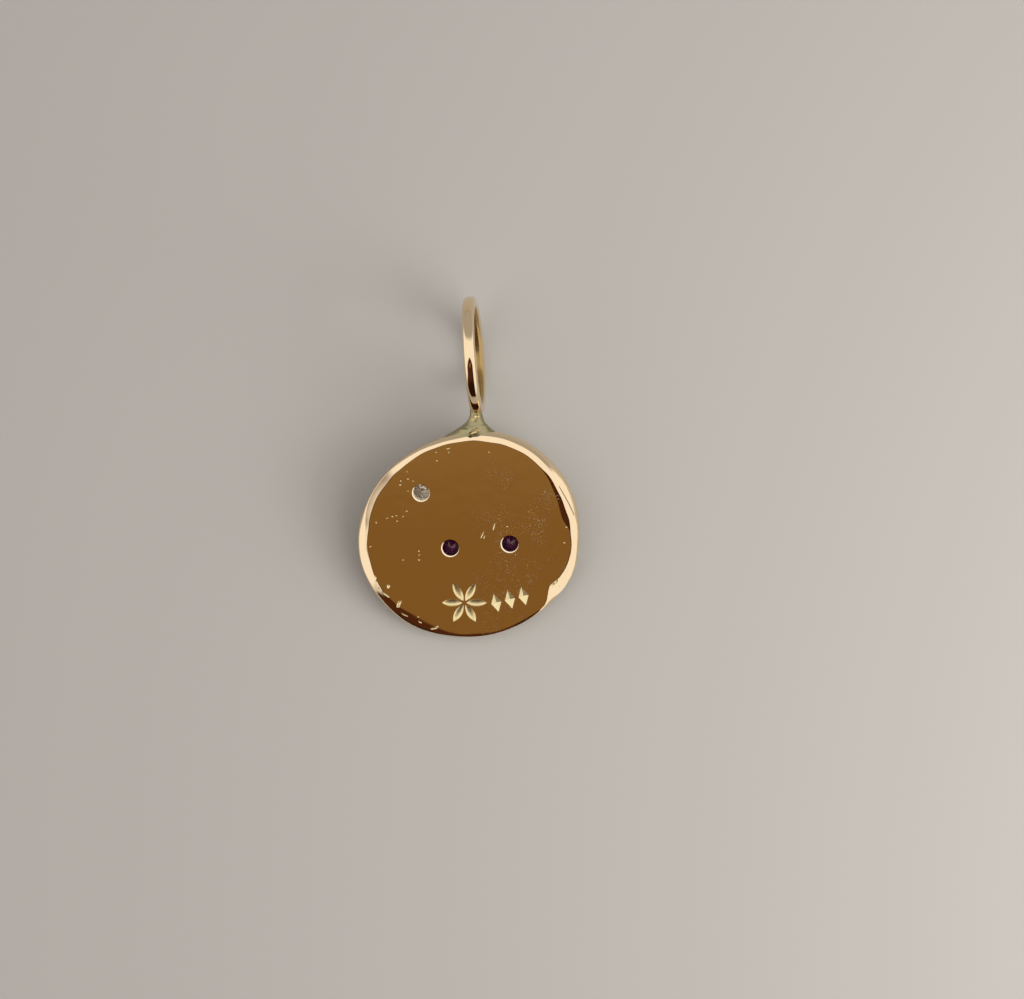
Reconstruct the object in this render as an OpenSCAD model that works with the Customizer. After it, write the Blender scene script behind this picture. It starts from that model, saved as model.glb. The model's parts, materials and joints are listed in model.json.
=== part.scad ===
// Gold skull charm, lying face down as it rests on a table: a slightly oval disc with a
// flat ground back and a rounded rim, a wire loop bail soldered to its top edge, three
// stones set in drilled holes, and a low raised skull on the front, which faces the table.
// The charm is drawn flat first, with the front face at z = 0 and the back up, and then
// laid down so that it stands on the loop and on its lower front edge.

/* [Disc] */
// Width of the disc
disc_w = 12.8; // [12:0.1:13.5]
// Thickness of the disc
disc_t = 1.15; // [1.1:0.05:1.3]
// Depth of the rounded shoulder on the back
back_round = 0.42; // [0.35:0.01:0.5]
// Depth of the rounding on the front
front_round = 0.36; // [0.3:0.01:0.45]
// Depth to which the front edge is rubbed flat at the bottom, where the charm lies on it
worn_depth = 0.03; // [0.02:0.01:0.05]

/* [Bail] */
// Outer diameter of the wire loop
bail_d = 6.8; // [6.4:0.1:7.4]
// Diameter of its wire
wire_d = 0.7; // [0.6:0.05:0.8]
// Depth of the flat that the mandrel left inside the loop
wire_flat = 0.05; // [0.03:0.01:0.06]
// Distance of the loop's middle from the disc's middle
bail_y = 10.45; // [10.4:0.05:10.8]
// Distance of the loop's middle to the right of the disc's middle
bail_x = 0.4; // [0:0.1:0.6]
// Turn of the loop out of the disc's upright line, in degrees
bail_yaw = 3.2; // [0:0.2:5]

/* [Stones] */
// Diameter of each stone
stone_d = 1.5; // [1.4:0.05:1.6]
// Diameter of the holes drilled through the back
drill_d = 1.08; // [1:0.02:1.16]
// Gap between a stone and its seat
seat_gap = 0.03; // [0.02:0.01:0.05]

/* [Skull] */
// Distance between the middles of the eye stones
eye_span = 3.46; // [3.4:0.02:3.6]
// Radius of the skull's crown
crown_r = 3.3; // [3:0.1:3.3]
// Height of the relief at its middle
relief_h = 0.36; // [0.3:0.01:0.4]
// Depth of the eye sockets' floor behind the front face
socket_depth = 0.1; // [0.05:0.01:0.14]

/* [Marks] */
// Depth of the punched ornaments on the back
punch_depth = 0.07; // [0.05:0.01:0.1]
// Diameter of the punched rosette
rosette_d = 2.6; // [2.2:0.1:2.8]

/* [Hidden] */

gold = [0.87, 0.68, 0.38];
stone_clear = [0.93, 0.95, 0.96];
stone_purple = [0.30, 0.08, 0.34];

// Outline of the disc, seen from the back: a row for every 20 degrees, from the right and up
// [radius as a share of half the width, width of the back's shoulder]
share = 0;
shoulder = 1;
outline = [
    [1.000, 0.47], // right
    [1.000, 0.50],
    [0.995, 0.52],
    [0.985, 0.52],
    [0.950, 0.48],
    [0.905, 0.38], // left of the top, where the loop is soldered
    [0.905, 0.38],
    [0.930, 0.43],
    [0.965, 0.47],
    [1.000, 0.50], // left
    [1.010, 0.52],
    [0.995, 0.53],
    [0.980, 0.56],
    [0.950, 0.50], // bottom
    [0.935, 0.46],
    [0.945, 0.40],
    [0.955, 0.32],
    [0.990, 0.50],
];
// Section of the rim, from the back's crisp edge round to the front face
// [distance in from the rim as a share of the shoulder or rounding, share of its depth]
back_edge = [[1.00, 0.00], [0.66, 0.16], [0.34, 0.35], [0.14, 0.56], [0.03, 0.80], [0.00, 1.00]];
front_edge = [[0.00, 1.00], [0.08, 0.62], [0.28, 0.32], [0.62, 0.10], [1.00, 0.00]];
rim_sides = 96;

// Cuts run this far past the faces that they open
past = 1;

loop_r = (bail_d - wire_d) / 2;
bore_r = bail_d / 2 - wire_d + wire_flat;
bore_at = [bail_x, bail_y, disc_t / 2];

// Solder neck, from inside the rim to the middle of the loop's wire
// [share of the way, half width, half thickness]
neck = [
    [0.00, 2.00, 0.34],
    [0.16, 1.75, 0.37],
    [0.27, 1.45, 0.38],
    [0.38, 1.08, 0.37],
    [0.51, 0.72, 0.35],
    [0.65, 0.50, 0.33],
    [0.84, 0.37, 0.31],
    [1.00, 0.33, 0.29],
];
neck_sides = 20;
neck_turn = 86;
neck_root = 0.47;
neck_start = rim_r(neck_turn) - neck_root;
neck_end = bail_y - loop_r;
neck_x = bail_x + 0.04;

// Cut of the stones: heights follow from the diameter
table_d = 0.56 * stone_d;
crown_h = 0.15 * stone_d;
girdle_h = 0.03 * stone_d;
pavilion_h = 0.43 * stone_d;

// Places of the stones' tables, seen from the back: the clear one, the left and the right eye
eyes_at = [0.72, -0.58];
eyes_turn = 4;
eye_step = eye_span / 2 * [cos(eyes_turn), sin(eyes_turn)];
stones = [
    [-2.65, 2.55, 0],
    [eyes_at[0] - eye_step[0], eyes_at[1] - eye_step[1], socket_depth],
    [eyes_at[0] + eye_step[0], eyes_at[1] + eye_step[1], socket_depth],
];

// Skull, measured from the middle of its eye line
crown_y = 0.55;
cheeks_and_jaw = [
    [-2.75, -1.00], [-2.35, -1.75], [-1.75, -2.15], [-1.65, -3.35], [-1.35, -3.60],
    [1.35, -3.60], [1.65, -3.35], [1.75, -2.15], [2.35, -1.75], [2.75, -1.00],
];
// Dome of the relief: [distance from its middle, share of its height]
dome = [[0, 1], [1.4, 0.95], [2.5, 0.82], [3.4, 0.62], [4.5, 0.28]];
dome_y = 0.3;
dome_root = 0.3;
socket_r = 1.02;
socket_flare = 0.4;
nose = [[0, -0.85], [0.42, -1.75], [-0.42, -1.75]];
tooth_w = 0.66;
tooth_h = 1.2;
tooth_line = 0.1;
bite_y = -3.15;

// Ornaments punched into the back
rosette_at = [-0.25, -3.95];
petals = 6;
petal_w = 0.45;
lozenges_at = [2.40, -3.75];
lozenge_w = 0.6;
lozenge_h = 1.1;
lozenge_step = 0.82;
lozenge_turn = 14;

// Dent knocked into the shoulder at the lower right
dent_turn = 326;
dent_r = 2.2;
dent_depth = 0.15;

// At rest the loop and the lower front edge both touch the table, so the pitch is that of the
// common tangent of the loop's circle and of the edge's rounding, less what is rubbed off it
low_rim = 270;
edge_r = front_round - worn_depth;
dy = bail_y + rim_r(low_rim) - front_round;
dz = disc_t / 2 - front_round;
rest_pitch = asin((bail_d / 2 - edge_r) / norm([dy, dz])) - atan2(dz, dy);
rest_lift = bail_d / 2 - bail_y * sin(rest_pitch) - disc_t / 2 * cos(rest_pitch);
rest_y = -3.76;

// Value of one column of the outline at a direction, smooth between the rows
function outline_at(a, c) =
    let (n = len(outline), s = a * n / 360, i = floor(s), f = s - i)
    let (p = outline[(i + n - 1) % n][c], q = outline[i % n][c])
    let (r = outline[(i + 1) % n][c], t = outline[(i + 2) % n][c])
    q + f / 2 * (r - p + f * (2 * p - 5 * q + 4 * r - t + f * (3 * (q - r) + t - p)));

function rim_r(a) = outline_at(a, share) * disc_w / 2;

// One round of points, in from the rim by a part of the shoulder and by a distance, at a height
function rim_points(part, inward, z) = [
    for (i = [0 : rim_sides - 1])
        let (a = 360 * i / rim_sides, r = rim_r(a) - part * outline_at(a, shoulder) - inward)
        [r * cos(a), r * sin(a), z]
];

// Faces between rounds of n points each, closed by a flat face at both ends
function tube_faces(rounds, n) = concat(
    [[for (i = [0 : n - 1]) n - 1 - i]],
    [
        for (k = [0 : rounds - 2], i = [0 : n - 1], half = [0, 1])
            let (a = k * n + i, b = k * n + (i + 1) % n)
            half == 0 ? [a, b, a + n] : [b, b + n, a + n]
    ],
    [[for (i = [0 : n - 1]) (rounds - 1) * n + i]]
);

module disc_blank() {
    rounds = concat(
        [for (row = back_edge) rim_points(row[0], 0, disc_t - row[1] * back_round)],
        [for (row = front_edge) rim_points(0, row[0] * front_round, row[1] * front_round)]
    );
    polyhedron(points = [for (round = rounds) each round], faces = tube_faces(len(rounds), rim_sides));
}

module solder_neck() {
    points = [
        for (row = neck, i = [0 : neck_sides - 1])
            let (a = 360 * i / neck_sides, y = neck_start + row[0] * (neck_end - neck_start))
            [neck_x + row[1] * cos(a), y, disc_t / 2 + row[2] * sin(a)]
    ];
    polyhedron(points = points, faces = tube_faces(len(neck), neck_sides));
}

// Puts the loop's own axis along the charm's width
module on_bail_axis() {
    translate(bore_at) rotate([0, 90, bail_yaw]) children();
}

module bail_loop() {
    on_bail_axis() rotate_extrude($fn = 96) translate([loop_r, 0]) circle(d = wire_d, $fn = 32);
}

// Hole for one stone: drilled from the back, seated for the girdle, and opened at the front
// with a rim that the setter pressed over the crown
module stone_seat() {
    girdle_z = crown_h + girdle_h;
    drill_z = girdle_z + (stone_d - drill_d) / stone_d * pavilion_h;
    mouth_r = 0.42 * stone_d;
    lip_r = 0.38 * stone_d;
    lip_z = 0.4 * crown_h;
    rotate_extrude($fn = 48) polygon([
        [0, -past], [mouth_r, -past], [mouth_r, 0], [lip_r + seat_gap, lip_z],
        [stone_d / 2 + seat_gap, crown_h], [stone_d / 2 + seat_gap, girdle_z + seat_gap],
        [drill_d / 2, drill_z + seat_gap], [drill_d / 2, disc_t + past], [0, disc_t + past],
    ]);
}

// Corners of a regular polygon at a height
function corners(n, r, z) = [for (i = [0 : n - 1]) [r * cos(360 * i / n), r * sin(360 * i / n), z]];

// Round cut stone with its table down, on the front face, and its point up. The table has 8
// corners and the girdle 16, and the first of them point the same way.
module brilliant() {
    lower = 8;
    upper = lower + 16;
    point = upper + 16;
    girdle_z = crown_h + girdle_h;
    points = concat(
        corners(8, table_d / 2, 0),
        corners(16, stone_d / 2, crown_h),
        corners(16, stone_d / 2, girdle_z),
        [[0, 0, girdle_z + pavilion_h]]
    );
    table = [for (i = [0 : 7]) i];
    crown = [
        for (i = [0 : 7])
            let (before = lower + (2 * i + 15) % 16, same = lower + 2 * i, after = same + 1)
            each [[i, before, same], [i, same, after], [i, after, (i + 1) % 8]]
    ];
    girdle = [
        for (i = [0 : 15])
            let (j = (i + 1) % 16)
            each [[lower + i, upper + i, lower + j], [lower + j, upper + i, upper + j]]
    ];
    pavilion = [for (i = [0 : 15]) [upper + i, point, upper + (i + 1) % 16]];
    polyhedron(points = points, faces = concat([table], crown, girdle, pavilion));
}

module skull_outline() {
    translate([0, crown_y]) circle(r = crown_r, $fn = 96);
    polygon(cheeks_and_jaw);
}

// Low domed skull that stands out of the front face
module skull_relief() {
    dome_points = [for (row = dome) [row[0], -row[1] * relief_h]];
    dome_edge = dome[len(dome) - 1][0];
    intersection() {
        translate([0, 0, -relief_h]) linear_extrude(relief_h + dome_root) skull_outline();
        translate([0, dome_y, 0]) rotate_extrude($fn = 96)
            polygon(concat(dome_points, [[dome_edge, past], [0, past]]));
    }
}

// Eye sockets, nose and the lines between the teeth, cut into the relief
module skull_cuts() {
    nose_z = 0.05;
    teeth_z = -0.02;
    for (side = [-1, 1])
        translate([side * eye_span / 2, 0, socket_depth - past])
            cylinder(r1 = socket_r + socket_flare, r2 = socket_r, h = past, $fn = 48);
    translate([0, 0, nose_z - past]) linear_extrude(past) polygon(nose);
    for (k = [-1.5 : 1.5])
        translate([k * tooth_w - tooth_line / 2, bite_y - 0.6 * tooth_h, teeth_z - past])
            cube([tooth_line, tooth_h, past]);
    translate([-2.25 * tooth_w, bite_y - tooth_line / 2, teeth_z - past])
        cube([4.5 * tooth_w, tooth_line, past]);
}

// Pointed petals round a middle, punched into the back
module rosette_punch() {
    middle_r = 0.12;
    petal_l = rosette_d / 2 - middle_r;
    arc_r = (petal_l * petal_l + petal_w * petal_w) / (4 * petal_w);
    for (k = [0 : petals - 1])
        rotate(360 / petals * k) translate([middle_r + petal_l / 2, 0, 0])
            linear_extrude(past) intersection_for (side = [-1, 1])
                translate([0, side * (arc_r - petal_w / 2)]) circle(r = arc_r, $fn = 64);
}

// Three lozenges in a row, punched into the back
module lozenge_punch() {
    w = lozenge_w / 2;
    h = lozenge_h / 2;
    for (k = [-1 : 1])
        translate([k * lozenge_step, 0, 0])
            linear_extrude(past) polygon([[w, 0], [0, h], [-w, 0], [0, -h]]);
}

// Shallow hollow that a knock left across the shoulder
module dent() {
    rotate(dent_turn) translate([rim_r(dent_turn), 0, disc_t + dent_r - dent_depth])
        sphere(r = dent_r, $fn = 96);
}

// Lays the flat charm down on its loop and its lower edge
module laid_down() {
    translate([0, rest_y, rest_lift]) rotate([rest_pitch, 0, 0]) children();
}

// What the table has rubbed off the lower edge: all of the disc's edge that is under z = 0
module worn_off() {
    translate([-disc_w / 2, rest_y - disc_w / 2 - past, -past]) cube([disc_w, disc_w / 2, past]);
}

module at_eyes() {
    translate([eyes_at[0], eyes_at[1], 0]) rotate(eyes_turn) children();
}

module disc_with_bail() {
    color(gold) difference() {
        laid_down() difference() {
            union() {
                disc_blank();
                solder_neck();
                bail_loop();
                at_eyes() skull_relief();
            }
            on_bail_axis() cylinder(r = bore_r, h = wire_d + 2 * past, center = true, $fn = 96);
            at_eyes() skull_cuts();
            for (place = stones)
                translate(place) stone_seat();
            translate([rosette_at[0], rosette_at[1], disc_t - punch_depth]) rosette_punch();
            translate([lozenges_at[0], lozenges_at[1], disc_t - punch_depth])
                rotate(lozenge_turn) lozenge_punch();
            dent();
        }
        worn_off();
    }
}

module clear_stone() {
    color(stone_clear) laid_down() translate(stones[0]) brilliant();
}

module purple_stone_left() {
    color(stone_purple) laid_down() translate(stones[1]) brilliant();
}

module purple_stone_right() {
    color(stone_purple) laid_down() translate(stones[2]) brilliant();
}

disc_with_bail();
clear_stone();
purple_stone_left();
purple_stone_right();
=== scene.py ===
import json
import math

import bmesh
import bpy
from mathutils import Matrix, Vector, noise


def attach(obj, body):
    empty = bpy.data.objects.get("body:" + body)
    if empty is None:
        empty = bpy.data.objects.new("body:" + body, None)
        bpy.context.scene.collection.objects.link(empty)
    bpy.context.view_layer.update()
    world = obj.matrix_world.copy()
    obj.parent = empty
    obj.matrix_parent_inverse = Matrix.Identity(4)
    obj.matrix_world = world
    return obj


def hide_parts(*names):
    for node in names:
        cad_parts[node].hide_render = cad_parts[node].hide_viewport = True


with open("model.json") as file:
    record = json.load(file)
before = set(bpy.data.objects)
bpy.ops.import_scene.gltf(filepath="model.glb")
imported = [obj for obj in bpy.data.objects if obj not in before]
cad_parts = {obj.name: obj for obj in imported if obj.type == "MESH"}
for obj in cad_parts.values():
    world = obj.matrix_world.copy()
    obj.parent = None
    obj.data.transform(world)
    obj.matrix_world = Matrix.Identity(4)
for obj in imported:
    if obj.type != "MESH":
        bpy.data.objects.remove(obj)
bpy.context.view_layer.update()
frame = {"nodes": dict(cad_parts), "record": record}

# The charm is modelled flat on the bench in millimetres: x to the right of the back, y up to
# the bail, z from the front face to the back. placeCharm then lays it down in the frame.


def report(stage):
    print("skull charm:", stage)


def linear(hexColour):
    # an sRGB hex colour as the linear values that nodes want
    shares = [int(hexColour[i:i + 2], 16) / 255 for i in (1, 3, 5)]
    return [s / 12.92 if s <= 0.04045 else ((s + 0.055) / 1.055) ** 2.4 for s in shares] + [1.0]


def addNode(tree, kind, inputs=None, **settings):
    # one node with its settings, and values or links for its inputs
    node = tree.nodes.new(kind)
    for name, value in settings.items():
        setattr(node, name, value)
    for name, value in (inputs or {}).items():
        if isinstance(value, bpy.types.NodeSocket):
            tree.links.new(value, node.inputs[name])
        else:
            node.inputs[name].default_value = value
    return node


def emptyMaterial(name):
    made = bpy.data.materials.new(name)
    made.use_nodes = True
    made.node_tree.nodes.clear()
    return made, made.node_tree


def patchiness(tree, place, size, detail=2.0):
    # soft noise with spots about this many millimetres across
    return addNode(tree, "ShaderNodeTexNoise", {
        "Vector": place, "Scale": 1000 / size, "Detail": detail, "Roughness": 0.5}).outputs["Fac"]


def spread(tree, value, low, high, toLow=0.0, toHigh=1.0):
    # smooth step from one value to another
    return addNode(tree, "ShaderNodeMapRange", {
        "Value": value, "From Min": low, "From Max": high, "To Min": toLow, "To Max": toHigh},
        interpolation_type="SMOOTHSTEP").outputs[0]


# Fine dull specks in the gold, in patches, most of them towards the right
specks = {
    "patch": 2.6,               # millimetres across a patch
    "patchFrom": (0.44, 0.60),  # noise where a patch starts and where it is full
    "across": (-0.003, 0.004),  # metres across, from where the fewest show to where all do
    "fewest": 0.25,
    "grain": 0.07,              # millimetres across a speck
    "grainFrom": (0.58, 0.72),  # noise where a speck starts and where it is full
    "duller": 0.4,              # roughness that a full speck adds
}


def metal(name, colour, roughness, dull, unevenness):
    # gold with its specks, and with the slight unevenness of hand work: pairs of
    # millimetres across and millimetres high
    made, tree = emptyMaterial(name)
    place = addNode(tree, "ShaderNodeTexCoord").outputs["Object"]
    across = addNode(tree, "ShaderNodeSeparateXYZ", {0: place}).outputs[0]
    patches = spread(tree, patchiness(tree, place, specks["patch"]), *specks["patchFrom"], 0.0, dull)
    sides = spread(tree, across, *specks["across"], specks["fewest"], 1.0)
    worn = addNode(tree, "ShaderNodeMath", {0: patches, 1: sides}, operation="MULTIPLY").outputs[0]
    grain = spread(tree, patchiness(tree, place, specks["grain"], 1.0), *specks["grainFrom"])
    rough = addNode(tree, "ShaderNodeMath", {0: grain, 1: worn}, operation="MULTIPLY").outputs[0]
    rough = addNode(tree, "ShaderNodeMath", {0: rough, 1: specks["duller"], 2: roughness},
                    operation="MULTIPLY_ADD").outputs[0]
    shader = addNode(tree, "ShaderNodeBsdfPrincipled", {
        "Base Color": linear(colour), "Metallic": 1.0, "Roughness": rough})
    normal = None
    for size, height in unevenness:
        inputs = {"Height": patchiness(tree, place, size), "Distance": height / 1000}
        if normal:
            inputs["Normal"] = normal
        normal = addNode(tree, "ShaderNodeBump", inputs).outputs[0]
    tree.links.new(normal, shader.inputs["Normal"])
    addNode(tree, "ShaderNodeOutputMaterial", {"Surface": shader.outputs[0]})
    return made


def cutStone(name, colour, index, body):
    # stone that lets light through, with a share of its body colour so that it stays lit
    made, tree = emptyMaterial(name)
    shader = addNode(tree, "ShaderNodeBsdfPrincipled", {
        "Base Color": linear(colour), "Roughness": 0.02, "IOR": index,
        "Transmission Weight": 1 - body})
    addNode(tree, "ShaderNodeOutputMaterial", {"Surface": shader.outputs[0]})
    return made


# Polished back, rim and loop: mirror bright, with soft hammer and file waves
polishedGold = metal("polished 14 carat gold", "#F3DBB4", 0.05, 0.9, [(2.4, 0.006), (0.5, 0.0006)])
# Punched, drilled and pitted places, where the polishing mop didn't reach; on the solder's scrapes the
# same pale gold is a painted glint
struckGoldAndPaintedGlints = metal("struck gold, also painted glints on the solder", "#F4E3AE", 0.34, 0.3, [(0.25, 0.01)])
# Inside of the wire loop, as the wire was drawn: left rougher, and darker in colour than the polished
# gold as painted shade
drawnGoldPaintedShade = metal("drawn gold wire, darker as painted shade", "#B69963", 0.24, 0.4, [(0.25, 0.008)])
# Walls of the stone holes, cut bright with a graver: smoother, and paler in colour than the polished
# gold as a painted highlight
brightCutGoldPaintedHighlight = metal("bright-cut gold, paler as painted highlight", "#FBEBCB", 0.12, 0.0, [(0.25, 0.002)])
# Solder, greener and duller than the gold
solderGold = metal("gold solder", "#A39B76", 0.28, 0.4, [(0.6, 0.05), (0.2, 0.022)])
clearGem = cutStone("clear cut stone", "#F6EBDC", 2.2, 0.20)
purpleGem = cutStone("purple cut stone", "#702262", 1.7, 0.25)


def makeObject(name, bm, *materials):
    bmesh.ops.recalc_face_normals(bm, faces=bm.faces[:])
    mesh = bpy.data.meshes.new(name)
    bm.to_mesh(mesh)
    bm.free()
    for material in materials:
        mesh.materials.append(material)
    made = bpy.data.objects.new(name, mesh)
    bpy.context.scene.collection.objects.link(made)
    return made


def combine(target, tool, operation, overlaps=False):
    # joins or cuts with another solid, which is used up; its own parts may overlap
    work = target.modifiers.new("work", "BOOLEAN")
    work.operation = operation
    work.solver = "EXACT"
    work.use_self = overlaps
    work.material_mode = "TRANSFER"
    work.object = tool
    bpy.context.view_layer.update()
    depsgraph = bpy.context.evaluated_depsgraph_get()
    mesh = bpy.data.meshes.new_from_object(target.evaluated_get(depsgraph))
    target.modifiers.clear()
    target.data = mesh
    report(f"{tool.name}: {operation.lower()}, now {len(mesh.polygons)} faces")
    bpy.data.objects.remove(tool)


def between(rows, column, x):
    # value of one column at x, between rows in order of their first column
    for low, high in zip(rows, rows[1:]):
        if x <= high[0]:
            f = max(0.0, (x - low[0]) / (high[0] - low[0]))
            return low[column] + f * (high[column] - low[column])
    return rows[-1][column]


def step(low, high, x):
    # smooth step from 0 to 1
    f = min(1.0, max(0.0, (x - low) / (high - low)))
    return f * f * (3 - 2 * f)


def pull(bm, edges, place, levels):
    # extrudes a ring of edges level by level, each placed by a function, and closes the end
    for level in levels:
        out = bmesh.ops.extrude_edge_only(bm, edges=edges)["geom"]
        edges = [g for g in out if isinstance(g, bmesh.types.BMEdge) and g.is_boundary]
        place([g for g in out if isinstance(g, bmesh.types.BMVert)], level)
    bmesh.ops.contextual_create(bm, geom=edges)


def turned(bm, profile, steps, matrix):
    # a profile of (radius, height) that starts and ends on the axis, turned into a solid
    before = set(bm.verts)
    verts = [bm.verts.new((r, 0, z)) for r, z in profile]
    edges = [bm.edges.new(pair) for pair in zip(verts, verts[1:])]
    bmesh.ops.spin(bm, geom=verts + edges, axis=(0, 0, 1), cent=(0, 0, 0), angle=math.tau,
                   steps=steps, use_merge=True)
    bmesh.ops.remove_doubles(bm, verts=[v for v in bm.verts if v not in before], dist=1e-5)
    bmesh.ops.transform(bm, matrix=matrix, verts=[v for v in bm.verts if v not in before])


# Disc

disc = {
    "width": 12.8,
    "thickness": 1.15,
    "segments": 640,
    "bandSteps": 5,
    "facetSteps": 6,
    "shoulderSteps": (6, 4, 22),
    "sideSteps": 2,
    "frontRound": 0.36,
    "frontSteps": 8,
    "margin": 0.08,             # flat strip inside the edges of both faces
    # Unevenness of the outline and of the hand-filed shoulder: height, length and seed
    "outlineWaves": (0.02, 2.2, 3.7),
    "shoulderWaves": (0.05, 1.1, 8.2),
    # Filed streak inside the shoulder at the upper right
    "streak": {
        "from": 8,
        "to": 45,
        "setsIn": (2, 11),      # directions between which it comes up to its full width
        "width": 0.36,
        "slopes": (6.5, 5),     # where it runs out, and where it starts
        "fades": 0.25,          # last share of its run, where its form is lost
        "straighter": 0.8,      # taken off the power of the band's curve
    },
    # Narrow ledge across the shoulder at the right, where two file strokes meet
    "ledge": {
        "from": 11,
        "to": 31,
        "back": (-90, -50),     # directions where its rows go back to their start
        "at": (0.02, 0.56),     # its ends and its width, as shares of the shoulder's width
        "width": 0.07,
        "slope": 6,
        "fadeIn": (0, 0.15),    # as shares of its length
        "fadeOut": (1.0, 1.3),
    },
    # Dent that widens the shoulder at the lower right: direction, and width added
    "dent": [
        (317, 0.0), (320, 0.09), (325, 0.38), (328, 0.50), (330, 0.46), (332, 0.38), (335, 0.24),
        (340, 0.14), (345, 0.06), (350, 0.0),
    ],
    "hollow": 0.006,            # of the filed facets, as a slope at their sides
    "leastBand": 0.02,
    "facetShares": (0.03, 0.95),
    "steepest": 0.9,            # most of the rest's depth that its first slope may take up
    "roundness": 2.2,           # power of the rest's curve
    # Facet: share of the shoulder that is filed flat. Slope: where the rest starts
    "columns": ("radiusShare", "shoulder", "facet", "facetSlope", "slope", "depth", "band", "bandSlope"),
    # a row for every 20 degrees, from the right and up
    "rim": [
        (1.007, 0.45, 0.03, 20, 22, 0.42, 0.06, 9),
        (1.016, 0.62, 0.03, 20, 34, 0.62, 0.06, 9),
        (1.007, 0.57, 0.46, 20, 47, 0.46, 0.06, 9),
        (0.991, 0.53, 0.55, 16, 32, 0.36, 0.04, 7),
        (0.961, 0.53, 0.58, 15, 30, 0.30, 0.03, 6),
        (0.919, 0.41, 0.45, 15, 30, 0.26, 0.03, 6),
        (0.909, 0.34, 0.60, 13, 30, 0.26, 0.03, 6),
        (0.930, 0.46, 0.80, 5.9, 34, 0.30, 0.02, 3),
        (0.965, 0.50, 0.75, 6.4, 24, 0.36, 0.02, 3),
        (1.000, 0.56, 0.22, 9.0, 24, 0.33, 0.02, 4),
        (1.013, 0.53, 0.03, 15, 22, 0.31, 0.04, 8),
        (1.002, 0.45, 0.03, 18, 18, 0.26, 0.08, 8),
        (0.980, 0.46, 0.60, 13, 14, 0.10, 0.26, 4),
        (0.942, 0.18, 0.60, 13, 14, 0.05, 0.10, 4),
        (0.938, 0.12, 0.60, 13, 14, 0.05, 0.05, 4),
        (0.943, 0.12, 0.60, 14, 16, 0.07, 0.04, 5),
        (0.972, 0.20, 0.20, 26, 26, 0.34, 0.04, 9),
        (1.013, 0.40, 0.03, 22, 24, 0.34, 0.05, 9),
    ],
}


def rimValue(name, direction):
    # value of a column of the rim table, smooth between its rows
    rows = disc["rim"]
    column = disc["columns"].index(name)
    s = direction % 360 * len(rows) / 360
    i = int(s)
    f = s - i
    p, q, r, t = [rows[(i + k) % len(rows)][column] for k in (-1, 0, 1, 2)]
    return q + f / 2 * (r - p + f * (2 * p - 5 * q + 4 * r - t + f * (3 * (q - r) + t - p)))


def stray(direction, size, period, seed):
    # smooth unevenness round the rim, in millimetres
    a = math.radians(direction)
    reach = disc["width"] / 2 / period
    return size * noise.noise(Vector((math.cos(a) * reach, math.sin(a) * reach, seed)))


def rimRadius(direction):
    mean = rimValue("radiusShare", direction) * disc["width"] / 2
    return mean + stray(direction, *disc["outlineWaves"])


def streakShare(direction):
    # how much of the filed streak there is: it starts at once and runs out upwards
    streak = disc["streak"]
    share = (streak["to"] - direction) / (streak["to"] - streak["from"])
    return max(0.0, share) * step(*streak["setsIn"], direction)


def ledgeShare(direction):
    # how far along the ledge a direction is, and the same held between 0 and 1; at the bottom,
    # where the shoulder is too narrow to show a ledge, it goes back, so that no section jumps
    ledge = disc["ledge"]
    signed = (direction + 180) % 360 - 180
    start, end = ledge["back"]
    out = (ledge["to"] - signed) / (ledge["to"] - ledge["from"])
    along = min(out, (signed - start) / (end - start))
    return along, min(1.0, max(0.0, along))


def ledgePlaces(direction):
    # shares of the way out over the shoulder, with rows of their own for the ledge
    inner, outer = disc["ledge"]["at"]
    at = inner + ledgeShare(direction)[1] * (outer - inner)
    to = at + disc["ledge"]["width"]
    first, second, third = disc["shoulderSteps"]
    places = [at * i / first for i in range(first)]
    places += [at + (to - at) * i / second for i in range(second)]
    places += [to + (1 - to) * math.sin(i / third * math.pi / 2) for i in range(third + 1)]
    return at, to, places


def ledgeStrength(direction):
    along = ledgeShare(direction)[0]
    return step(*disc["ledge"]["fadeIn"], along) * (1 - step(*disc["ledge"]["fadeOut"], along))


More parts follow.
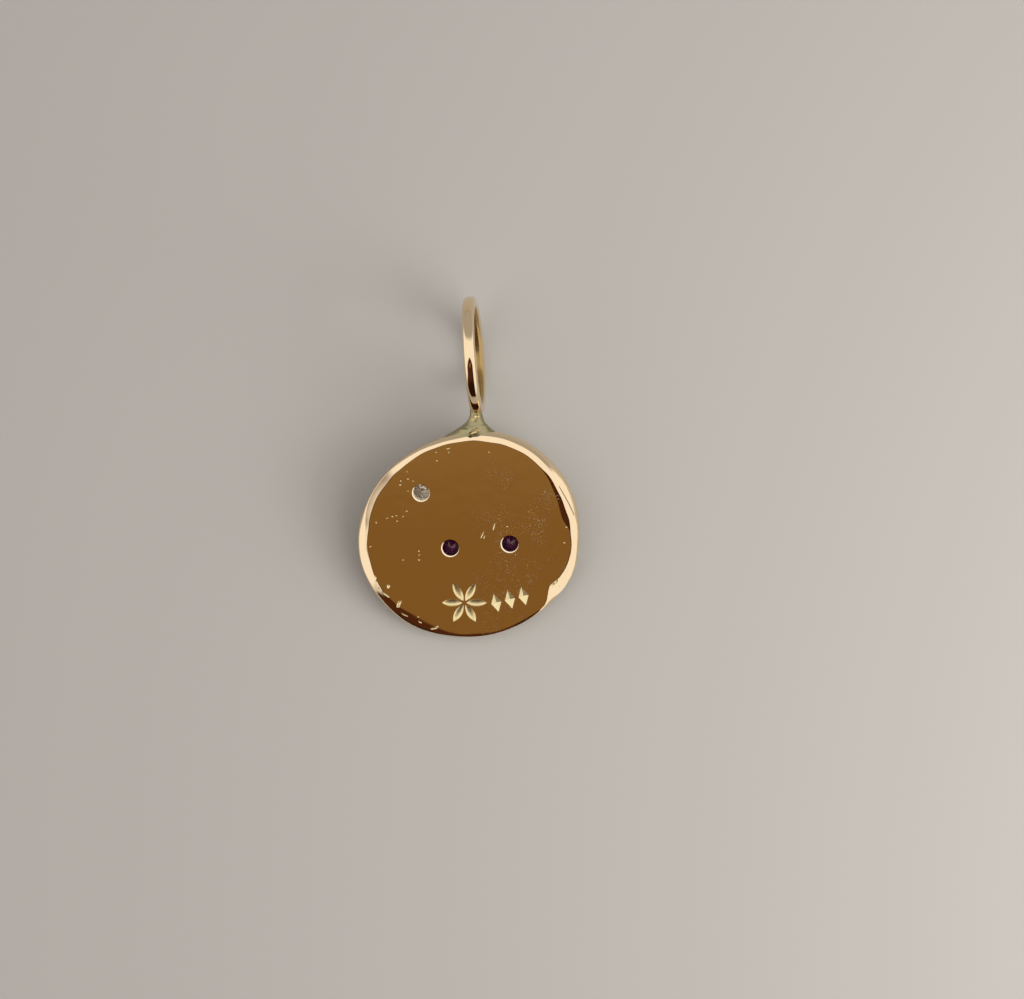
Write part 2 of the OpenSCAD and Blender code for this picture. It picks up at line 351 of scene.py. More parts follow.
def backSection(direction):
    # the back's section from its flat out to the side: (distance in from the rim, height)
    value = {c: rimValue(c, direction) for c in disc["columns"]}
    shoulder = value["shoulder"] + stray(direction, *disc["shoulderWaves"])
    shoulder += between(disc["dent"], 1, direction)
    streak = disc["streak"]
    share = streakShare(direction)
    strength = min(1.0, share / streak["fades"])
    band = max(disc["leastBand"], value["band"]) + share * streak["width"]
    endSlope, startSlope = streak["slopes"]
    streakSlope = endSlope + (startSlope - endSlope) * min(1.0, share)
    bandSlope = value["bandSlope"] + strength * (streakSlope - value["bandSlope"])
    power = 2 - streak["straighter"] * strength
    drop = band * math.tan(math.radians(bandSlope)) / power
    section = [(shoulder + band + disc["margin"], disc["thickness"])]
    for i in range(disc["bandSteps"]):
        u = i / disc["bandSteps"]
        section.append((shoulder + band * (1 - u), disc["thickness"] - drop * u ** power))
    top = disc["thickness"] - drop
    least, most = disc["facetShares"]
    facet = shoulder * min(most, max(least, value["facet"]))
    fall = facet * math.tan(math.radians(value["facetSlope"]))
    for i in range(disc["facetSteps"]):
        u = i / disc["facetSteps"]
        section.append((shoulder - facet * u, top - fall * u - facet * disc["hollow"] * u * (1 - u)))
    top -= fall
    rest = shoulder - facet
    start = min(disc["steepest"], math.tan(math.radians(value["slope"])) * rest / value["depth"])

    def fallAt(u):
        curve = 1 - math.sqrt(max(0.0, 1 - u ** disc["roundness"]))
        return value["depth"] * (start * u + (1 - start) * curve)

    at, to, places = ledgePlaces(direction)
    ledgeDrop = rest * math.tan(math.radians(disc["ledge"]["slope"]))
    for u in places:
        on = min(max(u, at), to)
        lift = ledgeStrength(direction) * (fallAt(on) - fallAt(at) - (on - at) * ledgeDrop)
        section.append((rest * (1 - u), top - fallAt(u) + lift * min(1.0, (1 - u) / (1 - to))))
    return section


def backHeight(x, y):
    # height of the back at a place, shoulder included
    direction = math.degrees(math.atan2(y, x)) % 360
    inward = rimRadius(direction) - math.hypot(x, y)
    return between(backSection(direction)[::-1], 1, inward)


def discBlank():
    bm = bmesh.new()
    bmesh.ops.create_circle(bm, segments=disc["segments"], radius=1)
    sections = []
    for i in range(disc["segments"]):
        direction = i * 360 / disc["segments"]
        section = backSection(direction)
        low = section[-1][1]
        for k in range(1, disc["sideSteps"] + 1):
            section.append((0.0, low + (disc["frontRound"] - low) * k / disc["sideSteps"]))
        for k in range(1, disc["frontSteps"] + 1):
            turn = k / disc["frontSteps"] * math.pi / 2
            inward = disc["frontRound"] * (1 - math.cos(turn))
            section.append((inward, disc["frontRound"] * (1 - math.sin(turn))))
        section.append((disc["frontRound"] + disc["margin"], 0.0))
        sections.append((rimRadius(direction), section))

    def place(verts, level):
        for v in verts:
            a = math.atan2(v.co.y, v.co.x)
            radius, section = sections[round(a / math.tau * disc["segments"]) % disc["segments"]]
            inward, height = section[level]
            v.co = ((radius - inward) * math.cos(a), (radius - inward) * math.sin(a), height)

    place(bm.verts, 0)
    edges = bm.edges[:]
    bmesh.ops.contextual_create(bm, geom=edges)
    pull(bm, edges, place, range(1, len(sections[0][1])))
    return makeObject("goldCharm", bm, polishedGold)


# Skull in low relief on the front

skull = {
    "at": (0.72, -0.58),        # middle of the eye line
    "turn": 4,                  # tilt of the eye line
    "height": 0.36,
    "dome": (0.3, 4.5, 0.72),   # its top above the eye line, its reach, and share lost there
    "crown": (0.55, 3.3),       # its middle above the eye line, and its radius
    "blend": 0.35,              # width over which the crown and the jaw flow together
    "jaw": [
        (-2.75, -1.00), (-2.35, -1.75), (-1.75, -2.15), (-1.65, -3.35), (-1.35, -3.60),
        (1.35, -3.60), (1.65, -3.35), (1.75, -2.15), (2.35, -1.75), (2.75, -1.00),
    ],
    "eyes": (1.73, 1.12),       # distance of the sockets from the middle, and their radius
    "nose": [(0, -0.80), (0.45, -1.78), (0.12, -1.62), (0, -1.74), (-0.12, -1.62), (-0.45, -1.78)],
    "noseFloor": 0.05,
    "noseRoom": 0.05,           # left free of relief round the nose
    # wall of a socket: distance from its radius, and height, down to its floor
    "socketWall": [(0.2, -1), (0.01, -0.02), (-0.03, 0.03), (-0.12, 0.1)],
    "socketSides": 72,
    "tooth": 0.66,              # width of a tooth
    "teeth": (-2.67, -3.15),    # top of the upper row, and the bite line
    "gum": (0.15, 0.8),         # height where the gaps between the teeth end, and how fast
    "gapFloor": 0.02,
    # widths over which edges are rounded, and how far into the hollow that starts
    "edge": 0.26,
    "toothEdge": 0.16,
    "socketEdge": (0.3, 0.04),
    "noseEdge": (0.2, 0.03),
    "dip": (0.02, 0.8, 0.15),   # into the disc beside the relief: at once, slope, and at most
    "grid": (-3.4, -3.7, 6.8, 7.65),    # its left and lower side, its width and its height
    "step": 0.05,               # between the rows of the grid
    "root": 0.3,                # how far the relief reaches into the disc
    # raised and hollow places: x, y, reach, height
    "moulding": [
        (0.0, 1.30, 0.9, 0.035), (1.7, 1.28, 0.7, 0.05), (2.35, -1.15, 0.5, 0.05),
        (2.9, 0.75, 0.7, -0.05), (2.0, -2.1, 0.4, -0.05), (0.0, -0.35, 0.35, 0.04),
    ],
}


def distanceTo(corners, x, y):
    # distance from a closed outline, less than 0 inside it
    nearest = math.inf
    inside = False
    for (ax, ay), (bx, by) in zip(corners, corners[1:] + corners[:1]):
        ex, ey = bx - ax, by - ay
        f = min(1.0, max(0.0, ((x - ax) * ex + (y - ay) * ey) / (ex * ex + ey * ey)))
        nearest = min(nearest, math.hypot(x - ax - f * ex, y - ay - f * ey))
        if (ay > y) != (by > y) and x < ax + (y - ay) / (by - ay) * ex:
            inside = not inside
    return -nearest if inside else nearest


def quarterRound(distance, width):
    # height share of an edge that is rounded over a width
    f = min(1.0, max(0.0, distance / width))
    return math.sqrt(1 - (1 - f) ** 2)


def reliefHeight(x, y):
    # height of the relief over the front face, less than 0 where there is none
    crown = math.hypot(x, y - skull["crown"][0]) - skull["crown"][1]
    jaw = distanceTo(skull["jaw"], x, y)
    width = skull["blend"]
    blend = max(0.0, width - abs(crown - jaw)) / width
    outer = min(crown, jaw) - blend * blend * width / 4
    domeY, domeReach, lost = skull["dome"]
    height = skull["height"] * (1 - lost * (x * x + (y - domeY) ** 2) / domeReach ** 2)
    for mx, my, reach, rise in skull["moulding"]:
        away = ((abs(x) - mx) ** 2 + (y - my) ** 2) / reach ** 2
        height += rise * math.exp(-away)
    top, bite = skull["teeth"]
    gumHeight, gumSlope = skull["gum"]
    if y < top + gumHeight:
        column = (x / skull["tooth"] + 0.5) % 1
        gap = min(column, 1 - column) * skull["tooth"]
        gap = min(max(gap, (y - top) * gumSlope), abs(y - bite))
        floor = skull["gapFloor"]
        height = floor + (height - floor) * quarterRound(gap, skull["toothEdge"])
    socket = math.hypot(abs(x) - skull["eyes"][0], y) - skull["eyes"][1]
    nose = distanceTo(skull["nose"], x, y) - skull["noseRoom"]
    if outer > 0 or socket < 0 or nose < 0:
        atOnce, slope, most = skull["dip"]
        return -min(most, atOnce + slope * max(outer, -socket, -nose))
    height *= quarterRound(-outer, skull["edge"])
    for hollow, (width, inside) in ((socket, skull["socketEdge"]), (nose, skull["noseEdge"])):
        height *= quarterRound(hollow + inside, width)
    return height


def onSkull():
    return Matrix.Translation((*skull["at"], 0)) @ Matrix.Rotation(math.radians(skull["turn"]), 4, "Z")


def skullRelief():
    left, low, wide, high = skull["grid"]
    bm = bmesh.new()
    bmesh.ops.create_grid(bm, x_segments=round(wide / skull["step"]),
                          y_segments=round(high / skull["step"]), size=0.5)
    for v in bm.verts:
        x, y = left + (v.co.x + 0.5) * wide, low + (v.co.y + 0.5) * high
        v.co = (x, y, -reliefHeight(x, y))

    def place(verts, level):
        for v in verts:
            v.co.z = level

    pull(bm, [e for e in bm.edges if e.is_boundary], place, [skull["root"]])
    bmesh.ops.transform(bm, matrix=onSkull(), verts=bm.verts)
    return makeObject("skull relief", bm, polishedGold)


def skullHollows():
    # floors of the sockets and the nose, sunk into the front face
    bm = bmesh.new()
    out, r = skull["eyes"]
    wall = [(r + more, height) for more, height in skull["socketWall"]]
    profile = [(0, wall[0][1]), *wall, (0, wall[-1][1])]
    for side in (-1, 1):
        seat = onSkull() @ Matrix.Translation((side * out, 0, 0))
        turned(bm, profile, skull["socketSides"], seat)
    nose = [bm.verts.new((x, y, skull["noseFloor"])) for x, y in skull["nose"]]
    face = bm.faces.new(nose)
    body = bmesh.ops.extrude_face_region(bm, geom=[face])["geom"]
    raised = [g for g in body if isinstance(g, bmesh.types.BMVert)]
    bmesh.ops.translate(bm, verts=raised, vec=(0, 0, -1))
    bmesh.ops.transform(bm, matrix=onSkull(), verts=nose + raised)
    return makeObject("skull hollows", bm, struckGoldAndPaintedGlints)


# Bail and solder

bail = {
    "outer": 6.8,
    "wire": 0.7,
    "at": (0.4, 10.45),
    "aside": 0.05,              # how far it was soldered off its place
    "yaw": 4.0,
    "flatness": 2.8,            # of the wire's outer side: 2 is round, more is flatter
    "mandrelFlat": 0.02,        # depth of the flat inside the loop
    "insideDepth": 0.10,        # how far from it the wire is left unpolished, and painted darker as shade
    "steps": 240,
    "sides": 44,
    "waves": (0.008, 1.1),      # unevenness of the wire: height, and waves per millimetre
}

solder = {
    "x": (0.36, 0.53),          # its middle at the disc and at the wire
    "leans": (0.1, 0.75),       # shares of the way up between which its middle moves over
    "direction": 86,            # of its foot on the rim
    "root": 0.47,               # how far its foot reaches into the disc
    "rows": 48,
    "sides": 72,
    "lumps": 0.04,              # height of its lumps
    "lumpScales": (2.2, 5),     # coarse and fine ones per millimetre
    "fineShare": 0.4,
    # share of the way up to the wire, half width, half thickness
    "shape": [
        (0.00, 1.85, 0.53), (0.10, 1.58, 0.52), (0.20, 1.31, 0.51), (0.30, 1.05, 0.49),
        (0.40, 0.80, 0.47), (0.50, 0.59, 0.43), (0.62, 0.45, 0.39), (0.75, 0.37, 0.35),
        (0.88, 0.34, 0.31), (1.00, 0.35, 0.30),
    ],
    # Scrapes on its top, lined with the pale struck gold as painted glints: x, share of the way up,
    # length, width, depth, and turn
    "paintedGlintScrapes": [
        (0.57, 0.28, 0.60, 0.13, 0.06, 23), (0.38, 0.70, 0.44, 0.10, 0.06, 72),
        (0.63, 0.75, 0.34, 0.22, 0.06, 20), (0.48, 0.40, 0.22, 0.06, 0.05, 30),
    ],
}


def bailLoop():
    wireR = bail["wire"] / 2
    loopR = bail["outer"] / 2 - wireR
    boreR = bail["outer"] / 2 - bail["wire"] + bail["mandrelFlat"]
    bm = bmesh.new()
    bmesh.ops.create_circle(bm, segments=bail["sides"], radius=wireR)
    for v in bm.verts:
        n = bail["flatness"] if v.co.x > 0 else 2
        c, s = abs(v.co.x) / wireR, abs(v.co.y) / wireR
        v.co /= (c ** n + s ** n) ** (1 / n)
    upright = Matrix.Translation((loopR, 0, 0)) @ Matrix.Rotation(math.pi / 2, 4, "X")
    bmesh.ops.transform(bm, matrix=upright, verts=bm.verts)
    bmesh.ops.spin(bm, geom=bm.verts[:] + bm.edges[:], axis=(0, 0, 1), cent=(0, 0, 0),
                   angle=math.tau, steps=bail["steps"], use_merge=True)
    high, scale = bail["waves"]
    for v in bm.verts:
        core = Vector((v.co.x, v.co.y, 0)).normalized() * loopR
        v.co += (v.co - core).normalized() * high * noise.noise(core * scale)
        reach = Vector((v.co.x, v.co.y))
        if reach.length < boreR:
            v.co.x, v.co.y = reach * boreR / reach.length
    for face in bm.faces:
        # the inside isn't polished, and its darker gold is painted shade
        if face.calc_center_median().xy.length < boreR + bail["insideDepth"]:
            face.material_index = 1
    stand = Matrix.Rotation(math.radians(bail["yaw"]), 4, "Z") @ Matrix.Rotation(math.pi / 2, 4, "Y")
    seat = Matrix.Translation((bail["at"][0] + bail["aside"], bail["at"][1], disc["thickness"] / 2))
    bmesh.ops.transform(bm, matrix=seat @ stand, verts=bm.verts)
    # the second slot, the darker inside, is painted shade
    return makeObject("bail loop", bm, polishedGold, drawnGoldPaintedShade)


def solderAt(share):
    # y, middle, half width and half thickness at a share of the way up to the wire
    start = rimRadius(solder["direction"]) - solder["root"]
    end = bail["at"][1] - (bail["outer"] - bail["wire"]) / 2
    low, high = solder["x"]
    middle = low + step(*solder["leans"], share) * (high - low)
    width, thickness = [between(solder["shape"], c, share) for c in (1, 2)]
    return start + share * (end - start), middle, width, thickness


def solderJoint():
    bm = bmesh.new()
    bmesh.ops.create_circle(bm, segments=solder["sides"], radius=1)
    turn = bm.verts.layers.float.new("turn")
    for v in bm.verts:
        v[turn] = math.atan2(v.co.y, v.co.x)
    coarse, fine = solder["lumpScales"]

    def place(verts, row):
        y, middle, width, thickness = solderAt(row / (solder["rows"] - 1))
        for v in verts:
            a = v[turn]
            x, z = width * math.cos(a), thickness * math.sin(a)
            spot = Vector((x, y, z))
            lump = noise.noise(spot * coarse) + solder["fineShare"] * noise.noise(spot * fine)
            x += math.cos(a) * lump * solder["lumps"]
            z += math.sin(a) * lump * solder["lumps"]
            v.co = (x + middle, y, z + disc["thickness"] / 2)

    place(bm.verts, 0)
    edges = bm.edges[:]
    bmesh.ops.contextual_create(bm, geom=edges)
    pull(bm, edges, place, range(1, solder["rows"]))
    return makeObject("solder", bm, solderGold)


# Stones and their seats

cut = {
    "width": 1.5,               # of each stone, and the heights of its cut
    "crown": 0.225,
    "girdle": 0.045,
    "pavilion": 0.645,
    "sides": 64,
    "gap": 0.03,                # between a stone and its seat
    # Seat: radius of its front opening as a share of the stone's width, and where its bezel
    # starts, as shares of that width and of the crown's height
    "opening": 0.42,
    "bezel": (0.38, 0.4),
    "drill": 0.97,              # width of the hole through the back
    # The hole's edge is cut bright, and deepest at the lower left, where the cutter stood off; the
    # walls' paler gold is a painted highlight
    "brightCut": {"width": 1.04, "slope": 20, "off": 0.03, "sides": 96},
    # facets: towards the point or the table, first direction, how many, slope, and a
    # radius and height that they pass through
    "facets": [
        (1, 0.0, 8, 40.7, 0.75, 0.27),          # pavilion mains
        (1, 11.25, 16, 41.4, 0.75, 0.27),       # lower girdle facets
        (-1, 0.0, 8, 34.3, 0.75, 0.225),        # bezels
        (-1, 11.25, 16, 37.0, 0.75, 0.225),     # upper girdle facets
        (-1, 22.5, 8, 21.0, 0.388, 0.0),        # stars
    ],
}

# Node of each stone, with its piece, its place, its turn in its seat and its material
stones = [
    ("clear_stone", "clearStone", (-2.65, 2.55, 0.0), 9, clearGem),
    ("purple_stone_left", "purpleStoneLeft", (-1.006, -0.701, 0.1), 17, purpleGem),
    ("purple_stone_right", "purpleStoneRight", (2.446, -0.459, 0.1), 31, purpleGem),
]


def brilliant(name, place, turn, material):
    # a rod with its table at 0 and its point up, cut facet by facet
    bm = bmesh.new()
    height = cut["crown"] + cut["girdle"] + cut["pavilion"]
    bmesh.ops.create_cone(bm, cap_ends=True, segments=cut["sides"], radius1=cut["width"] / 2,
                          radius2=cut["width"] / 2, depth=height,
                          matrix=Matrix.Translation((0, 0, height / 2)))
    for side, azimuth, count, slope, radius, level in cut["facets"]:
        for k in range(count):
            a = math.radians(azimuth + 360 / count * k)
            s = math.radians(slope)
            out = Vector((math.cos(a), math.sin(a), 0))
            made = bmesh.ops.bisect_plane(
                bm, geom=bm.verts[:] + bm.edges[:] + bm.faces[:], dist=1e-6,
                plane_co=out * radius + Vector((0, 0, level)),
                plane_no=out * math.sin(s) + Vector((0, 0, side * math.cos(s))), clear_outer=True)
            rim = [g for g in made["geom_cut"] if isinstance(g, bmesh.types.BMEdge) and g.is_boundary]
            if rim:
                bmesh.ops.contextual_create(bm, geom=rim)
    spun = Matrix.Translation(place) @ Matrix.Rotation(math.radians(turn), 4, "Z")
    bmesh.ops.transform(bm, matrix=spun, verts=bm.verts)
    return makeObject(name, bm, material)


def stoneSeats():
    bm = bmesh.new()
    girdleZ = cut["crown"] + cut["girdle"]
    wide = cut["width"] / 2 + cut["gap"]
    hole = cut["drill"] / 2
    opening = cut["opening"] * cut["width"]
    bezelR = cut["bezel"][0] * cut["width"] + cut["gap"]
    bezelZ = cut["bezel"][1] * cut["crown"]
    bright = cut["brightCut"]
    slope = math.tan(math.radians(bright["slope"]))
    rise = 0.02                 # of the cutters over the back
    drillZ = girdleZ + (cut["width"] - cut["drill"]) / cut["width"] * cut["pavilion"] + cut["gap"]
    for node, piece, place, turn, material in stones:
        back = disc["thickness"] - place[2]
        profile = [
            (0, -1), (opening, -1), (opening, 0), (bezelR, bezelZ), (wide, cut["crown"]),
            (wide, girdleZ + cut["gap"]), (hole, drillZ), (hole, back + rise), (0, back + rise),
        ]
        turned(bm, profile, cut["sides"], Matrix.Translation(place))
        low = back - slope * bright["width"] / 2
        cone = [(0, low), (bright["width"] / 2 + rise / slope, back + rise), (0, back + rise)]
        aside = Vector((bright["off"], bright["off"], 0))
        turned(bm, cone, bright["sides"], Matrix.Translation(Vector(place) - aside))
    # the seats' walls take the paler gold, a painted highlight
    return makeObject("stone seats", bm, brightCutGoldPaintedHighlight)


# Ornaments punched into the back, and the marks of use, with painted glints on the solder

punches = {
    "rosette": {"at": (-0.25, -3.95), "petals": 6, "inner": 0.12, "outer": 1.3, "width": 0.45,
                "depth": 0.1, "arcSteps": 16, "sides": 24},
    "lozenges": {"at": (2.40, -3.75), "count": 3, "width": 0.6, "height": 1.1, "step": 0.82,
                 "turn": 14, "depth": 0.09},
}

# Nicks and pits in the back: x, y, length, width, depth, and the turn of their length
nicks = [
    (-5.42, -2.45, 0.30, 0.12, 0.03, 110), (-5.35, -2.75, 0.26, 0.12, 0.03, 120),
    (-4.66, -2.99, 0.28, 0.19, 0.04, 75), (-4.87, -3.45, 0.66, 0.15, 0.04, 142),
    (-5.22, -3.15, 0.22, 0.10, 0.02, 130), (-4.06, -4.00, 0.46, 0.20, 0.04, 58),
    (-4.12, -4.18, 0.26, 0.15, 0.03, 20), (-3.78, -4.68, 0.48, 0.10, 0.03, 155),
    (-2.85, -5.12, 0.24, 0.11, 0.03, 150), (-2.95, -4.80, 0.10, 0.08, 0.02, 0),
    (-2.10, -5.50, 0.46, 0.14, 0.04, 12), (-1.85, -5.38, 0.20, 0.12, 0.02, 60),
    (-5.66, -0.64, 0.10, 0.09, 0.02, 0), (-2.85, -0.90, 0.10, 0.09, 0.02, 0),
    (-2.83, -1.13, 0.09, 0.07, 0.02, 0), (-2.85, -1.42, 0.12, 0.10, 0.02, 0),
    (-3.78, -1.42, 0.09, 0.08, 0.01, 0), (-3.87, 3.00, 0.12, 0.10, 0.02, 30),
    (-3.83, 3.23, 0.10, 0.08, 0.02, 80), (-3.42, 3.34, 0.11, 0.09, 0.02, 0),
    (-3.12, 3.23, 0.09, 0.08, 0.01, 0), (-3.46, 3.77, 0.08, 0.07, 0.01, 0),
    (-3.42, 2.64, 0.10, 0.08, 0.01, 0), (-4.67, 1.05, 0.14, 0.08, 0.01, 20),
    (-4.36, 1.14, 0.12, 0.09, 0.02, 40), (-4.13, 1.19, 0.14, 0.07, 0.01, 10),
    (-4.09, 0.87, 0.09, 0.08, 0.01, 0), (-3.74, 1.14, 0.10, 0.07, 0.01, 60),
    (-3.51, 1.46, 0.13, 0.08, 0.01, 30), (-5.30, 0.78, 0.07, 0.14, 0.01, 0),
    (0.84, 0.05, 0.46, 0.07, 0.02, 66), (0.96, -0.06, 0.24, 0.06, 0.01, 66),
    (1.53, 0.55, 0.50, 0.08, 0.02, 74), (2.29, 0.55, 0.10, 0.09, 0.02, 0),
    (-1.06, 5.12, 0.20, 0.09, 0.02, 20), (-1.04, 4.90, 0.09, 0.08, 0.01, 0),
    (-1.77, 4.91, 0.08, 0.07, 0.01, 0), (-1.73, 4.41, 0.10, 0.08, 0.01, 0),
    (1.30, 4.91, 0.09, 0.08, 0.01, 0), (5.59, -0.40, 0.11, 0.10, 0.02, 0),
    (5.72, 0.52, 0.12, 0.10, 0.02, 0), (4.92, -2.92, 0.30, 0.17, 0.05, 60),
    (5.10, -2.80, 0.44, 0.07, 0.03, 72),
]


def punchedOrnaments():
    bm = bmesh.new()
    top = disc["thickness"]
    rosette = punches["rosette"]
    length = rosette["outer"] - rosette["inner"]
    arcR = (length * length + rosette["width"] ** 2) / (4 * rosette["width"])
    # each petal is a spindle: an arc turned round its own length, and flattened
    profile = []
    for i in range(rosette["arcSteps"] + 1):
        x = (i / rosette["arcSteps"] - 0.5) * length
        profile.append((math.sqrt(arcR ** 2 - x * x) - (arcR - rosette["width"] / 2), x))
    profile[0] = (0, -length / 2)
    profile[-1] = (0, length / 2)
    flatten = Matrix.Diagonal((1, 1, rosette["depth"] / (rosette["width"] / 2), 1))
    out = Matrix.Translation((rosette["inner"] + length / 2, 0, 0))
    lying = out @ Matrix.Rotation(math.pi / 2, 4, "Y")
    for k in range(rosette["petals"]):
        spoke = Matrix.Rotation(math.tau / rosette["petals"] * k, 4, "Z")
        petal = Matrix.Translation((*rosette["at"], top)) @ flatten @ spoke @ lying
        turned(bm, profile, rosette["sides"], petal)
    lozenges = punches["lozenges"]
    tilt = Matrix.Rotation(math.radians(lozenges["turn"]), 4, "Z")
    row = Matrix.Translation((*lozenges["at"], top)) @ tilt
    size = Matrix.Diagonal((lozenges["width"] / 2, lozenges["height"] / 2, 1, 1))
    for k in range(lozenges["count"]):
        shift = Matrix.Translation(((k - (lozenges["count"] - 1) / 2) * lozenges["step"], 0, 0))
        bmesh.ops.create_cone(bm, cap_ends=True, segments=4, radius1=0, radius2=2,
                              depth=2 * lozenges["depth"], matrix=row @ shift @ size)
    return makeObject("punched ornaments", bm, struckGoldAndPaintedGlints)


def wearMarksAndPaintedGlints():
    marks = [(x, y, backHeight(x, y), *shape) for x, y, *shape in nicks]
    # the solder's scrapes take the pale struck gold, a painted glint on the duller solder
    for x, share, *shape in solder["paintedGlintScrapes"]:
        y, middle, width, thickness = solderAt(share)
        top = disc["thickness"] / 2 + thickness * math.sqrt(1 - ((x - middle) / width) ** 2)
        marks.append((x, y, top, *shape))
    # each is cut by the lower part of a flattened ball, so that its rim stays crisp
    sunk = 0.4                  # share of the ball's radius that is under the surface
    half = 0.8                  # share of it that is half the ball's width at the surface
    bm = bmesh.new()
    for x, y, top, length, width, depth, turn in marks:
        size = Matrix.Diagonal((length / (2 * half), width / (2 * half), depth / sunk, 1))
        place = Matrix.Translation((x, y, top + (1 / sunk - 1) * depth))
        bmesh.ops.create_icosphere(bm, subdivisions=2, radius=1,
                                   matrix=place @ Matrix.Rotation(math.radians(turn), 4, "Z") @ size)
    # the nicks in the gold are real wear; on the solder the same pale gold is a painted glint
    return makeObject("nicks", bm, struckGoldAndPaintedGlints)


# The gold solid

charm = discBlank()
combine(charm, skullRelief(), "UNION")
combine(charm, skullHollows(), "DIFFERENCE")
combine(charm, solderJoint(), "UNION")
combine(charm, bailLoop(), "UNION")
combine(charm, stoneSeats(), "DIFFERENCE", True)
combine(charm, punchedOrnaments(), "DIFFERENCE")
combine(charm, wearMarksAndPaintedGlints(), "DIFFERENCE", True)

# Where the flat charm comes to lie: the CAD back's own slope, and the bail's bore
cadBody = frame["nodes"]["disc_with_bail"]
back = max((p for p in cadBody.data.polygons if p.normal.z > 0.5), key=lambda p: p.area).normal
pitch = math.atan2(-back.y, back.z)
bore = Vector(frame["record"]["mounts"][0]["pos_m"])
turnDown = Matrix.Rotation(pitch, 4, "X")
flatBore = Vector((*bail["at"], disc["thickness"] / 2)) / 1000
placeCharm = Matrix.Translation(bore - turnDown @ flatBore) @ turnDown @ Matrix.Scale(0.001, 4)
report(f"lies at {math.degrees(pitch):.3f} degrees")


def shadeGold(mesh, crisp, soft):
    # edges of more than the crisp angle stay sharp; in the relief, loop and solder the soft one
    sliver = 0.0002             # width of the thinnest faces that the cuts may leave
    reliefZ = -0.004            # edges lower than this belong to the relief
    bm = bmesh.new()
    bm.from_mesh(mesh)
    bmesh.ops.dissolve_degenerate(bm, edges=bm.edges[:], dist=sliver)
    solderSlot = [m.name for m in mesh.materials].index(solderGold.name)
    loopFrom = disc["width"] / 2 + bail["wire"] / 2
    for face in bm.faces:
        face.smooth = True
    for edge in bm.edges:
        if len(edge.link_faces) != 2:
            continue
        relief = max(v.co.z for v in edge.verts) < reliefZ
        loop = min(v.co.y for v in edge.verts) > loopFrom
        slots = {f.material_index for f in edge.link_faces}
        limit = math.radians(soft if relief or loop or slots == {solderSlot} else crisp)
        edge.smooth = len(slots) == 1 and edge.calc_face_angle() < limit
    bm.to_mesh(mesh)
    bm.free()


shadeGold(charm.data, 8, 45)
charm.data.transform(placeCharm)
for v in charm.data.vertices:
    v.co.z = max(0.0, v.co.z)   # the table has rubbed the lowest edge flat
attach(charm, "root")
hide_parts("disc_with_bail")
report(f"gold solid, {len(charm.data.polygons)} faces")

for node, piece, place, turn, material in stones:
    stone = brilliant(piece, place, turn, material)
    stone.data.transform(placeCharm)
    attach(stone, "root")
    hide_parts(node)
report("stones cut")


# Table, light and camera

table, tree = emptyMaterial("pale warm grey paper")
shader = addNode(tree, "ShaderNodeBsdfPrincipled", {"Base Color": linear("#B0ADA7"), "Roughness": 0.7})
addNode(tree, "ShaderNodeOutputMaterial", {"Surface": shader.outputs[0]})
bm = bmesh.new()
bmesh.ops.create_grid(bm, x_segments=1, y_segments=1, size=0.6)
makeObject("table", bm, table)

# Soft surroundings that the gold mirrors, as directions: x to the right, y behind, z up.
# They are pale to both sides and overhead, and grey behind the bail. Over the near side there
# is a dark warm room, lighter brown where the flat back mirrors it, and nearly black to the
# right and low down.
studio = {
    "pale": (1.08, 1.04, 1.02, 1),
    "grey": (0.42, 0.40, 0.39, 1),
    "greyBehind": (0.40, 0.60),         # y over which pale turns to grey
    "room": (0.075, 0.024, 0.009, 1),
    "roomLeft": -0.48,                  # its left edge, overhead
    "widens": (-0.32, 0.75, 0.05),      # how far that edge moves out, and the z over which it does
    "leftSoft": (-0.10, 0.04),
    "roomRight": (0.42, 0.34),
    # The far end of the room is pointed: slant of each of its sides, and where it fades
    "leftSlant": (-1.3, -0.02, 0.12),
    "rightSlant": (1.8, -0.19, -0.25),
    "black": (0.022, 0.009, 0.004, 1),
    "blackRight": (0.08, 0.20),         # x and y over which the room turns nearly black
    "blackNear": (-0.72, -0.88),
    "brown": (0.230, 0.121, 0.034, 1),
    "lightBrown": (0.285, 0.17, 0.058, 1),
    "brownSides": (-0.14, 0.02, 0.03),  # x of its sides, and their softness
    "brownFar": (-0.293, -0.317),
    "brownNear": (-0.48, -0.39),
    "lighter": (-0.36, -0.32),          # y over which the brown grows lighter
}

world = bpy.data.worlds.new("studio")
bpy.context.scene.world = world
world.use_nodes = True
tree = world.node_tree
tree.nodes.clear()
where = addNode(tree, "ShaderNodeTexCoord").outputs["Generated"]
x, y, z = addNode(tree, "ShaderNodeSeparateXYZ", {0: where}).outputs


def both(a, b, operation="MULTIPLY"):
    return addNode(tree, "ShaderNodeMath", {0: a, 1: b}, operation=operation).outputs[0]


def scaled(value, share, more):
    return addNode(tree, "ShaderNodeMath", {0: value, 1: share, 2: more},
                   operation="MULTIPLY_ADD").outputs[0]


def mixed(share, low, high):
    return addNode(tree, "ShaderNodeMix", {0: share, 6: low, 7: high}, data_type="RGBA").outputs[2]


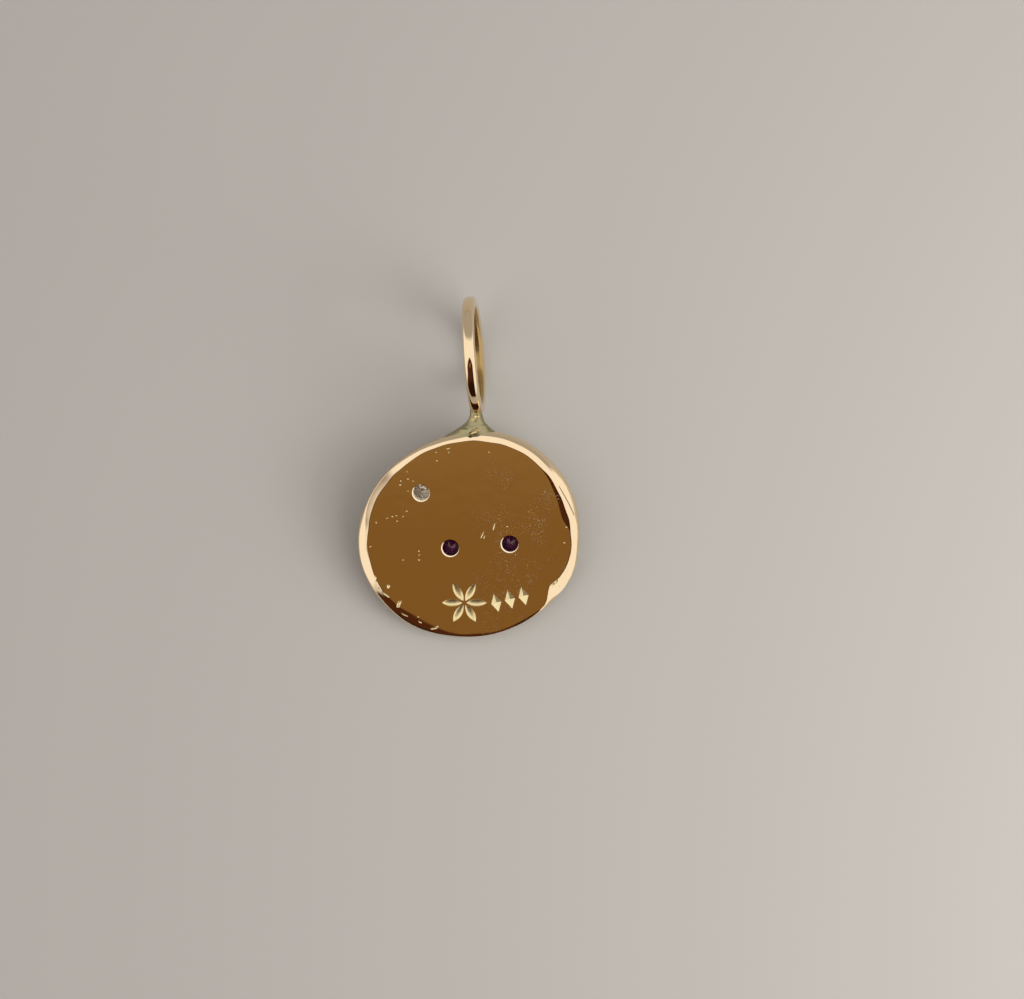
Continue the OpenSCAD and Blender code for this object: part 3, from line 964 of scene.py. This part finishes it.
left, right, soft = studio["brownSides"]
further, widenFrom, widenTo = studio["widens"]
leftEdge = scaled(spread(tree, z, widenFrom, widenTo), further, studio["roomLeft"])
insideLeft = spread(tree, both(x, leftEdge, "SUBTRACT"), *studio["leftSoft"])
insideRight = spread(tree, x, *studio["roomRight"])
leftSlant = scaled(y, studio["leftSlant"][0], x)
rightSlant = scaled(y, studio["rightSlant"][0], x)
pointed = both(spread(tree, leftSlant, *studio["leftSlant"][1:]),
               spread(tree, rightSlant, *studio["rightSlant"][1:]))
room = both(both(insideLeft, insideRight), pointed)
sky = mixed(spread(tree, y, *studio["greyBehind"]), studio["pale"], studio["grey"])
brownX = both(spread(tree, x, left - soft, left + soft), spread(tree, x, right + soft, right - soft))
brownY = both(spread(tree, y, *studio["brownFar"]), spread(tree, y, *studio["brownNear"]))
brown = mixed(spread(tree, y, *studio["lighter"]), studio["brown"], studio["lightBrown"])
blacker = both(spread(tree, x, *studio["blackRight"]), spread(tree, y, *studio["blackNear"]), "MAXIMUM")
dark = mixed(both(brownX, brownY), mixed(blacker, studio["room"], studio["black"]), brown)
background = addNode(tree, "ShaderNodeBackground", {"Color": mixed(room, sky, dark), "Strength": 1.0})
addNode(tree, "ShaderNodeOutputWorld", {"Surface": background.outputs[0]})


def softbox(name, size, energy, place):
    # square lamp that looks at the charm, and that the gold doesn't mirror
    lamp = bpy.data.lights.new(name, "AREA")
    lamp.shape = "SQUARE"
    lamp.size = size
    lamp.energy = energy
    lampObject = bpy.data.objects.new(name, lamp)
    bpy.context.scene.collection.objects.link(lampObject)
    lampObject.location = place
    lampObject.rotation_euler = (-Vector(place)).to_track_quat("-Z", "Y").to_euler()
    lampObject.visible_glossy = False


softbox("main softbox", 0.14, 0.118, (0.13, -0.04, 0.11))
softbox("low fill", 0.06, 0.070, (0.11, -0.03, 0.05))

# Camera over the charm, a little to the right, looking down
view = {
    "tilt": 3.5,
    "distance": 200,
    "scale": 0.058,             # millimetres to a pixel
    "pixels": 1024,             # width of the picture
    "discAt": (468.5, 534.0),   # pixels of the disc's middle and of the picture's
    "middleAt": (512.0, 499.5),
    "sensor": 36,
}
tilt = math.radians(view["tilt"])
right = Vector((math.cos(tilt), 0, -math.sin(tilt)))
up = Vector((0, 1, 0))
out = Vector((math.sin(tilt), 0, math.cos(tilt)))
anchor = placeCharm @ Vector((0, 0, disc["thickness"] / 2))
shiftX = (view["middleAt"][0] - view["discAt"][0]) * view["scale"]
shiftY = (view["discAt"][1] - view["middleAt"][1]) * view["scale"]
camera = bpy.data.cameras.new("camera")
camera.sensor_width = view["sensor"]
camera.lens = view["sensor"] * view["distance"] / view["scale"] / view["pixels"]
camera.clip_start = 0.01
cameraObject = bpy.data.objects.new("camera", camera)
bpy.context.scene.collection.objects.link(cameraObject)
at = anchor + (out * view["distance"] + right * shiftX + up * shiftY) / 1000
cameraObject.matrix_world = Matrix((
    (right.x, up.x, out.x, at.x),
    (right.y, up.y, out.y, at.y),
    (right.z, up.z, out.z, at.z),
    (0, 0, 0, 1),
))
bpy.context.scene.camera = cameraObject
bpy.context.scene.view_settings.view_transform = "Standard"
